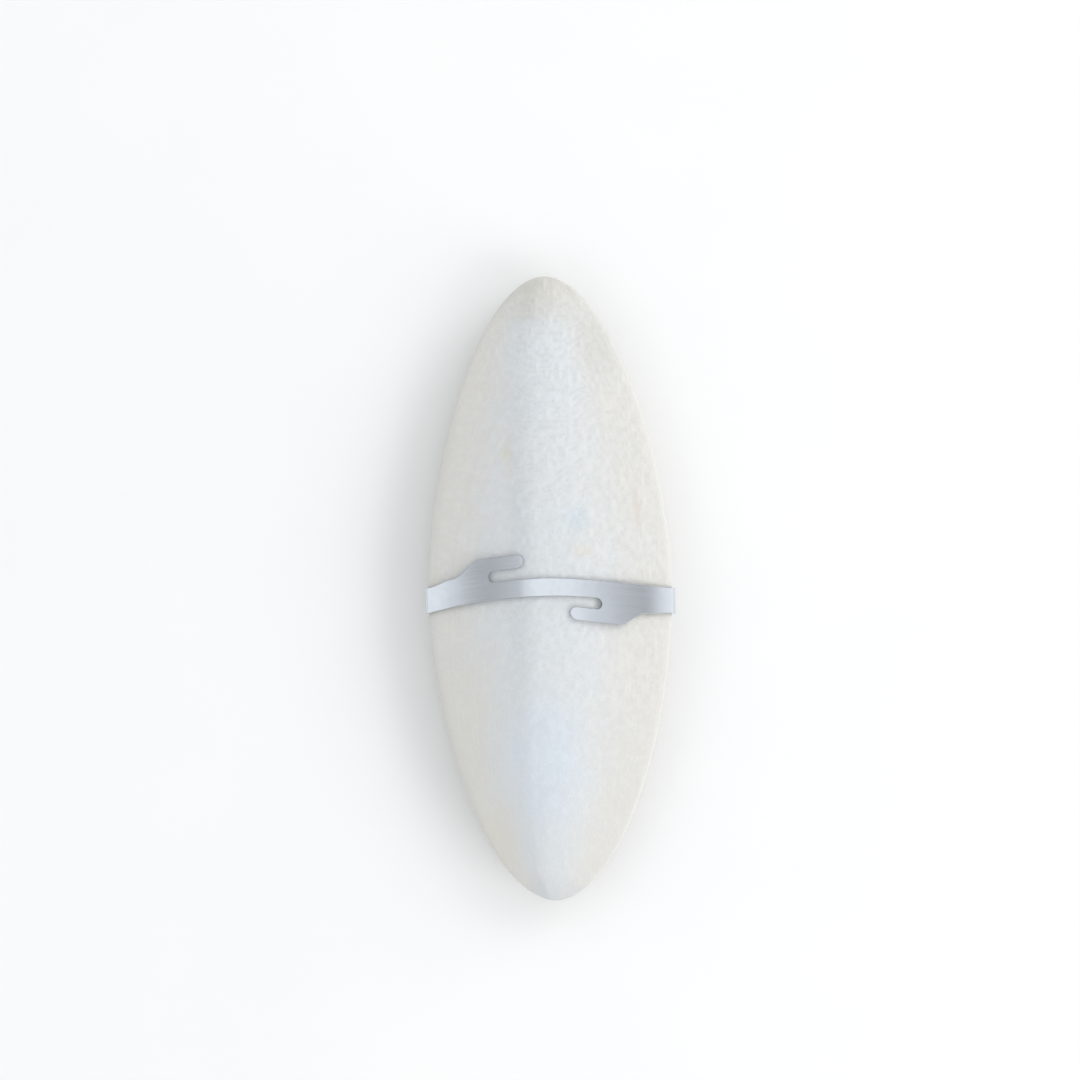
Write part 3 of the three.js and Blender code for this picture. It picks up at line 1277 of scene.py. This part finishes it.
def follow(path: list[Stretch], run: Array) -> tuple[Array, Array, Array]:
    """Where the sheet's inner face has got to, from the middle of the strip.

    A straight stretch adds its length times the cosine and sine of the tilt. A bent one adds
    its radius times the differences of the sines and cosines.

    Args:
        path: The stretches, in order.
        run: Runs along the strip.

    Returns:
        Distance out, height (which is negative), and tilt, at each run.
    """
    x, z, tilt, left = (np.zeros(run.shape) for _ in range(4))
    left = left + run
    for stretch in path:
        gone = np.minimum(stretch.length, left)
        turned = tilt + stretch.turn * gone / stretch.length
        if stretch.turn:
            radius = stretch.length / stretch.turn
            x = x + radius * (np.sin(turned) - np.sin(tilt))
            z = z + radius * (np.cos(turned) - np.cos(tilt))
        else:
            x = x + gone * np.cos(tilt)
            z = z - gone * np.sin(tilt)
        tilt, left = turned, left - gone
    return x, z, tilt


class HalfClip:
    """A half of the clip: its part of the flat blank, and how that is bent.

    A point of the blank has its run, along the strip from its middle, and its place across,
    from the strip's centre line towards the half's tab.
    """

    cell = 0.34 * MM
    cells_across = 13
    cells_round = 16
    arm_rounds = 8
    edge_samples = 400

    def __init__(self, sizes: ClipSizes, side: Side, spring: Spring, ear: Ear) -> None:
        """Works out the arm that reaches from the crease to the bend round the rim.

        The arm is an even bend, so its fall over its reach is the tangent of its mean tilt.
        Its last tilt also moves the bend's start a little, so it is worked out a few times.

        Args:
            sizes: The clip's sizes.
            side: Which half it is.
            spring: How it bows.
            ear: Where its tab and shoulder lie.
        """
        self.sizes, self.side, self.ear = sizes, side, ear
        over_back = sizes.over_back(spring)
        x, z, _ = follow(over_back, np.array(math.inf))
        tilt = spring.arm
        for _ in range(self.arm_rounds):
            reach = sizes.bend_reach(tilt) - float(x)
            fall = sizes.crown_height + float(z) - sizes.rim_height
            fall -= sizes.bend_radius * math.cos(tilt)
            tilt = 2 * math.atan2(fall, reach) - spring.arm
        arm = reach * (tilt - spring.arm) / (math.sin(tilt) - math.sin(spring.arm))
        bend = sizes.bend_radius * (sizes.claw_tilt - tilt)
        self.path = [
            *over_back,
            Stretch(arm, tilt - spring.arm),
            Stretch(bend, sizes.claw_tilt - tilt),
            Stretch(sizes.claw_length, 0),
        ]
        self.bend_run = sizes.crease_run + sizes.crease_length + arm
        self.claw_run = self.bend_run + bend
        self.end_run = self.claw_run + sizes.claw_length

    def bent(self, blank: Array) -> Array:
        """Bends points of the blank to their places on the sheet's inner face.

        The middle of the strip is moved to lie on the ridge, which makes one arm longer.

        Args:
            blank: Points of the blank, as run and across.

        Returns:
            The points, in metres.
        """
        sizes, sign = self.sizes, self.side.value
        out, down, _ = follow(self.path, blank[..., 0])
        x = sizes.ridge_offset * np.maximum(0, 1 - out / sizes.half_width) + sign * out
        y = sizes.centre_line(x) - sign * blank[..., 1]
        return np.stack([x, y, sizes.crown_height + down], axis=-1)

    def claw_share(self, run: Array) -> Array:
        """Share of the claw's width that is left on its way to its rounded point."""
        return self.sizes.claw_round.at((run - self.claw_run) / self.sizes.claw_length)

    def plain_edge(self, run: Array) -> Array:
        """The edge without a tab: it flares with a power of the run, and rounds the claw.

        Args:
            run: Runs along the strip.

        Returns:
            Across at each run.
        """
        sizes = self.sizes
        flare = np.minimum(1, run / self.bend_run) ** sizes.arm_flare
        half = sizes.strip_half + (sizes.arm_half - sizes.strip_half) * flare
        return -half * self.claw_share(run)

    def slot_half(self, run: Array) -> Array:
        """Half of the slot's width: full, then a half circle at its closed end."""
        beyond = np.maximum(0, run - (self.sizes.slot_end - self.sizes.slot_radius))
        return np.sqrt(np.maximum(0, self.sizes.slot_radius**2 - beyond**2))

    def slot_low(self, run: Array) -> Array:
        """The strip's edge along the slot, which runs out to the strip's width at the middle.

        Args:
            run: Runs along the strip.

        Returns:
            Across at each run.
        """
        sizes = self.sizes
        narrowed = np.minimum(1, run / (sizes.slot_end - sizes.slot_radius))
        wider = (sizes.strip_half - sizes.slot_inner) * (1 - narrowed)
        return sizes.slot_middle - self.slot_half(run) + wider

    def lean(self, run: Array) -> Array:
        """How far a tab leans, towards the head, with the square of the distance to its tip."""
        share = (self.sizes.slot_end - run) / (self.sizes.slot_end - self.ear.tab_tip)
        return -self.side.value * self.sizes.tab_lean * share**2

    def tab_low(self, run: Array) -> Array:
        """The tab's edge along the slot."""
        return self.sizes.slot_middle + self.slot_half(run) + self.lean(run)

    def tab_high(self, run: Array) -> Array:
        """The tab's outer edge."""
        return self.sizes.tab_outer + self.lean(run)

    def seam(self, run: Array) -> Array:
        """The line from the slot's end to the claw's point, where the patches meet."""
        share = (run - self.sizes.slot_end) / (self.end_run - self.sizes.slot_end)
        return self.sizes.slot_middle * (1 - share)

    def shoulder(self, run: Array) -> Array:
        """The edge beyond the tab: a soft step down to the arm, which then narrows a little.

        Args:
            run: Runs along the strip.

        Returns:
            Across at each run.
        """
        sizes = self.sizes
        step = soft_step(run, self.ear.shoulder_start, self.ear.shoulder_end)
        taper = soft_step(run, self.ear.shoulder_end, self.bend_run)
        arm = sizes.arm_root + (sizes.arm_half - sizes.arm_root) * taper
        return (sizes.tab_outer + (arm - sizes.tab_outer) * step) * self.claw_share(run)

    def edge(
        self, line: Callable[[Array], Array], start: float, end: float, count: int
    ) -> Array:
        """Evenly spaced points of an edge of the blank, whose line gives across at a run."""
        run = start + (end - start) * np.sin(np.linspace(0, np.pi / 2, self.edge_samples))
        return even_spread(np.stack([run, line(run)], axis=1), count)

    def spaced(self, start: float, end: float) -> tuple[float, float, int]:
        """Two runs, and how many points an edge of plain cells has between them."""
        return start, end, math.ceil((end - start) / self.cell)

    def rung(self, near: Array, far: Array) -> Array:
        """An even straight edge from the first of two edges' points to the other's."""
        return np.linspace(near, far, self.cells_across + 1)

    def ladder(self, near: Array, far: Array) -> Array:
        """The patch between two edges whose ends are joined by straight ones."""
        return patch_between(near, far, self.rung(near[0], far[0]), self.rung(near[-1], far[-1]))

    def patches(self) -> list[Array]:
        """The patches of the blank.

        Beyond the slot they lie between the seam and the plain edge, and between the seam and
        the shoulder. Beside it are the narrow strip and the tab.

        Returns:
            Grids of points of the blank.
        """
        plain, eared = self.beyond_slot(self.plain_edge), self.beyond_slot(self.shoulder)
        return [*plain, *eared, self.narrow_strip(), self.tab()]

    def beyond_slot(self, outer: Callable[[Array], Array]) -> list[Array]:
        """Patches from the slot's end to the claw's point, between the seam and an outer edge.

        The last of them ends in a piece of the claw's round outline.

        Args:
            outer: The outer edge.

        Returns:
            The flank, the bend round the rim and the claw, as grids of points of the blank.
        """
        count = self.cells_round + 1
        flank = self.spaced(self.sizes.slot_end, self.bend_run)
        bend = (self.bend_run, self.claw_run, count)
        grids = [self.ladder(self.edge(self.seam, *s), self.edge(outer, *s)) for s in (flank, bend)]
        corner = self.claw_run + self.sizes.claw_corner * self.sizes.claw_length
        near = self.edge(self.seam, self.claw_run, self.end_run, count)
        far = self.edge(outer, self.claw_run, corner, count)
        tip = self.edge(outer, corner, self.end_run, self.cells_across + 1)[::-1]
        return [*grids, patch_between(near, far, self.rung(near[0], far[0]), tip)]

    def narrow_strip(self) -> Array:
        """The patch of the strip beside the slot, as a grid of points of the blank."""
        stretch = self.spaced(0, self.sizes.slot_end)
        return self.ladder(self.edge(self.slot_low, *stretch), self.edge(self.plain_edge, *stretch))

    def tab(self) -> Array:
        """The tab's patch, from the half circle of its tip to the slot's end.

        Returns:
            A grid of points of the blank.
        """
        sizes = self.sizes
        radius = (sizes.tab_outer - sizes.slot_outer) / 2
        middle = self.ear.tab_tip + radius
        angle = np.linspace(-np.pi / 2, np.pi / 2, self.cells_across + 1)
        run = middle - radius * np.cos(angle)
        across = sizes.slot_outer + radius + self.lean(run) + radius * np.sin(angle)
        stretch = self.spaced(middle, sizes.slot_end)
        near, far = self.edge(self.tab_low, *stretch), self.edge(self.tab_high, *stretch)
        tip = np.stack([run, across], axis=1)
        return patch_between(near, far, tip, self.rung(near[-1], far[-1]))

    def surface(self, first: int) -> tuple[Array, Array, Array]:
        """The half's inner face.

        Args:
            first: Index of its first point in the whole sheet.

        Returns:
            Its points, their places on the whole blank, and its faces, which look away from the
            bone.
        """
        points, places, faces = [], [], []
        for blank in self.patches():
            place = self.bent(blank)
            a, b, c = place[0, 0], place[0, 1], place[1, 1]
            upwards = np.cross(b - a, c - a) @ (a[0], 0, a[2] - self.sizes.rim_height) > 0
            cells = grid_faces(*blank.shape[:2], first)
            faces.append(cells if upwards else cells[:, ::-1])
            points.append(place.reshape(-1, 3))
            flat = blank.reshape(-1, 2) * (self.side.value, -self.side.value)
            places.append(np.pad(flat, ((0, 0), (0, 1))))
            first += len(points[-1])
        return tuple(map(np.concatenate, (points, places, faces)))


@dataclass
class CageClip:
    """The clip: both halves of the blank, joined, with the sheet's thickness and soft edges."""

    sizes: ClipSizes
    left: Spring = Spring(6 * MM, math.radians(9.6), math.radians(15.9), math.radians(16))
    right: Spring = Spring(10.6 * MM, math.radians(10.2), math.radians(16.9), math.radians(17.8))
    left_ear: Ear = Ear(4.6 * MM, 17.2 * MM, 24.4 * MM)
    right_ear: Ear = Ear(6.8 * MM, 18.4 * MM, 25.2 * MM)
    weld_reach: float = 0.002 * MM
    sheared_reach: float = 0.45 * MM
    edge_radius: float = 0.06 * MM
    edge_segments: int = 2
    edge_angle: float = math.radians(50)
    finish: SatinSteel = SatinSteel()

    def build(self, effects: Effects) -> Piece:
        """Joins both halves, thickens the sheet and dresses it.

        Args:
            effects: The shared node groups.

        Returns:
            The finished object.
        """
        left = HalfClip(self.sizes, Side.LEFT, self.left, self.left_ear).surface(0)
        right = HalfClip(self.sizes, Side.RIGHT, self.right, self.right_ear)
        right = right.surface(len(left[0]))
        points, places, faces = map(np.concatenate, zip(left, right))
        piece = new_piece("stamped_clip", points, faces.tolist())
        add_values(piece, "blank", places)
        self.weld(piece)
        add_values(piece, "edge", self.edge_nearness(piece))
        self.thicken(piece)
        piece.data.materials.append(self.finish.material(effects))
        return piece

    def weld(self, piece: Piece) -> None:
        """Merges the points that neighbouring patches of the sheet share.

        Args:
            piece: The sheet.
        """
        mesh = bmesh.new()
        mesh.from_mesh(piece.data)
        bmesh.ops.remove_doubles(mesh, verts=mesh.verts, dist=self.weld_reach)
        mesh.to_mesh(piece.data)
        mesh.free()

    def edge_nearness(self, piece: Piece) -> Array:
        """How near each point of the sheet is to its cut edge.

        Args:
            piece: The open sheet, whose edges with one face are the cut edge.

        Returns:
            1 at the edge, fading as the exponential of minus the distance over its reach.
        """
        mesh = piece.data
        points = np.empty(len(mesh.vertices) * 3)
        mesh.vertices.foreach_get("co", points)
        points = points.reshape(-1, 3)
        sides = np.empty(len(mesh.loops), int)
        mesh.loops.foreach_get("edge_index", sides)
        ends = np.empty(len(mesh.edges) * 2, int)
        mesh.edges.foreach_get("vertices", ends)
        cut = np.unique(ends.reshape(-1, 2)[np.bincount(sides) == 1])
        gap = np.linalg.norm(points[:, None] - points[None, cut], axis=2).min(axis=1)
        return np.exp(-gap / self.sheared_reach)

    def thicken(self, piece: Piece) -> None:
        """Gives the sheet its thickness, outwards, and rounds its cut edges.

        Args:
            piece: The sheet, as its inner face.
        """
        solid = piece.modifiers.new("sheet", "SOLIDIFY")
        solid.thickness = self.sizes.sheet
        solid.offset = 1
        solid.use_even_offset = True
        bevel = piece.modifiers.new("soft_edges", "BEVEL")
        bevel.width = self.edge_radius
        bevel.segments = self.edge_segments
        bevel.limit_method = "ANGLE"
        bevel.angle_limit = self.edge_angle
        bevel.harden_normals = True


# ------------------------------------------------------------------------------ the studio


@dataclass(frozen=True)
class SoftBox:
    """A square lamp panel that faces the bone."""

    name: str
    place: Triple
    size: float
    power: float
    colour: Colour = (1, 1, 1)

    def build(self) -> None:
        """Hangs the panel and turns it to the origin."""
        lamp = bpy.data.lights.new(self.name, "AREA")
        lamp.size = self.size
        lamp.energy = self.power
        lamp.color = self.colour
        panel = bpy.data.objects.new(self.name, lamp)
        panel.location = self.place
        panel.rotation_euler = Vector(self.place).to_track_quat("Z", "Y").to_euler()
        panel.visible_camera = False
        bpy.context.scene.collection.objects.link(panel)


@dataclass(frozen=True)
class LightTent:
    """White cloth lit from outside, all round and above the bone.

    It is brightest at a crown that leans to the right, has a dimmer ring round that, a bright
    wall below the ring, and is dimmer again at the floor.
    """

    lean: float = math.radians(2.7)
    dim: float = 0.314
    crown: float = 0.773
    crown_from: float = math.radians(37)
    crown_to: float = math.radians(10.1)
    wall: float = 0.762
    wall_from: float = math.radians(35.2)
    wall_to: float = math.radians(38)
    floor_dimming: float = 0.28
    floor_from: float = math.radians(60)
    floor_to: float = math.radians(90)
    colour: Colour = (0.975, 0.99, 1.0)

    def build(self) -> bpy.types.World:
        """Builds the tent as the world's light.

        The brightness is the dim level plus the crown's and the wall's shares, less the floor's,
        each a soft step of the angle between a direction and the crown's axis.

        Returns:
            The world.
        """
        world = bpy.data.worlds.new("light_tent")
        world.use_nodes = True
        graph = Graph(world.node_tree)
        axis = (math.sin(self.lean), 0, math.cos(self.lean))
        direction = graph.node("TexCoord", {}).outputs["Generated"]
        angle = graph.math(
            "ARCCOSINE", graph.vectors("DOT_PRODUCT", direction, axis).outputs["Value"]
        )
        crown = graph.ramp(angle, self.crown_from, self.crown_to, (0, self.crown))
        wall = graph.ramp(angle, self.wall_from, self.wall_to, (0, self.wall))
        floor = graph.ramp(angle, self.floor_from, self.floor_to, (0, -self.floor_dimming))
        bright = graph.math("ADD", graph.math("ADD", crown, wall), floor)
        bright = graph.math("ADD", bright, self.dim)
        background = world.node_tree.nodes["Background"]
        graph.feed(background, {"Color": (*self.colour, 1), "Strength": bright})
        return world


@dataclass
class Studio:
    """A pale floor, a light tent, a lamp panel and a camera that looks straight down."""

    middle_height: float
    floor_size: float = 6.0
    floor_finish: Paper = Paper()
    view_width: float = 276.3 * MM
    camera_height: float = 1.2
    aim: Span = (-2.35 * MM, 12.46 * MM)
    roll: float = math.radians(-1.2)
    nearest: float = 0.01
    farthest: float = 50
    tent: LightTent = LightTent()
    panels: tuple[SoftBox, ...] = (
        SoftBox("head_side_panel", (1.14, 0.80, 0.56), 0.9, 7.3, (1.0, 0.99, 0.97)),
        SoftBox("tail_side_panel", (1.14, -0.80, 0.56), 0.9, 7.3, (1.0, 0.99, 0.97)),
    )

    def build_floor(self, effects: Effects) -> Piece:
        """Lays the floor under the bone.

        Args:
            effects: The shared node groups.

        Returns:
            The floor.
        """
        corners = np.array([[-1, -1, 0], [1, -1, 0], [1, 1, 0], [-1, 1, 0]])
        floor = new_piece("floor", self.floor_size / 2 * corners, [[0, 1, 2, 3]])
        floor.data.materials.append(self.floor_finish.material(effects))
        return floor

    def light(self) -> None:
        """Puts up the tent, and hangs the panels."""
        bpy.context.scene.world = self.tent.build()
        for panel in self.panels:
            panel.build()
        bpy.context.scene.view_settings.view_transform = "Standard"

    def place_camera(self) -> None:
        """Hangs the camera over the bone, with a long lens that frames the view's width."""
        lens = bpy.data.cameras.new("overhead")
        lens.lens = lens.sensor_width * (self.camera_height - self.middle_height) / self.view_width
        lens.clip_start = self.nearest
        lens.clip_end = self.farthest
        camera = bpy.data.objects.new("overhead", lens)
        camera.location = (*self.aim, self.camera_height)
        camera.rotation_euler = (0, 0, self.roll)
        bpy.context.scene.collection.objects.link(camera)
        bpy.context.scene.camera = camera


def report(piece: Piece, slot: str) -> None:
    """Logs a finished piece's face count, with the name of the record's material slot that is
    passed in.
    """
    faces = len(piece.data.polygons)
    log.info("%s: %d faces before its modifiers, finish %s", piece.name, faces, slot)


def main() -> None:
    """Builds the bone, the clip and the studio, and logs the pieces."""
    logging.basicConfig(level=logging.INFO, format="%(message)s")
    effects = Effects()

    low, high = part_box("cuttlebone")
    bone = Cuttlebone(length=high.y - low.y, width=high.x - low.x)
    bone_piece = bone.build(effects)
    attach(bone_piece, "root")
    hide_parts("cuttlebone")
    report(bone_piece, "bone")

    rim_height = float(bone.rim_height_at(np.array(0.0)))
    sizes = ClipSizes(
        half_width=bone.width / 2,
        rim_height=rim_height,
        rim_thickness=bone.rim_thickness,
        ridge_top=bone.ridge_top(),
        ridge_offset=bone.ridge_offset,
    )
    clip_piece = CageClip(sizes).build(effects)
    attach(clip_piece, "root")
    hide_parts("cage_clip")
    report(clip_piece, "clip_steel")

    studio = Studio(middle_height=rim_height)
    floor = studio.build_floor(effects)
    studio.light()
    studio.place_camera()
    log.info("studio: floor, %d lamp panels and an overhead camera", len(studio.panels))


if __name__ == "__main__":
    main()
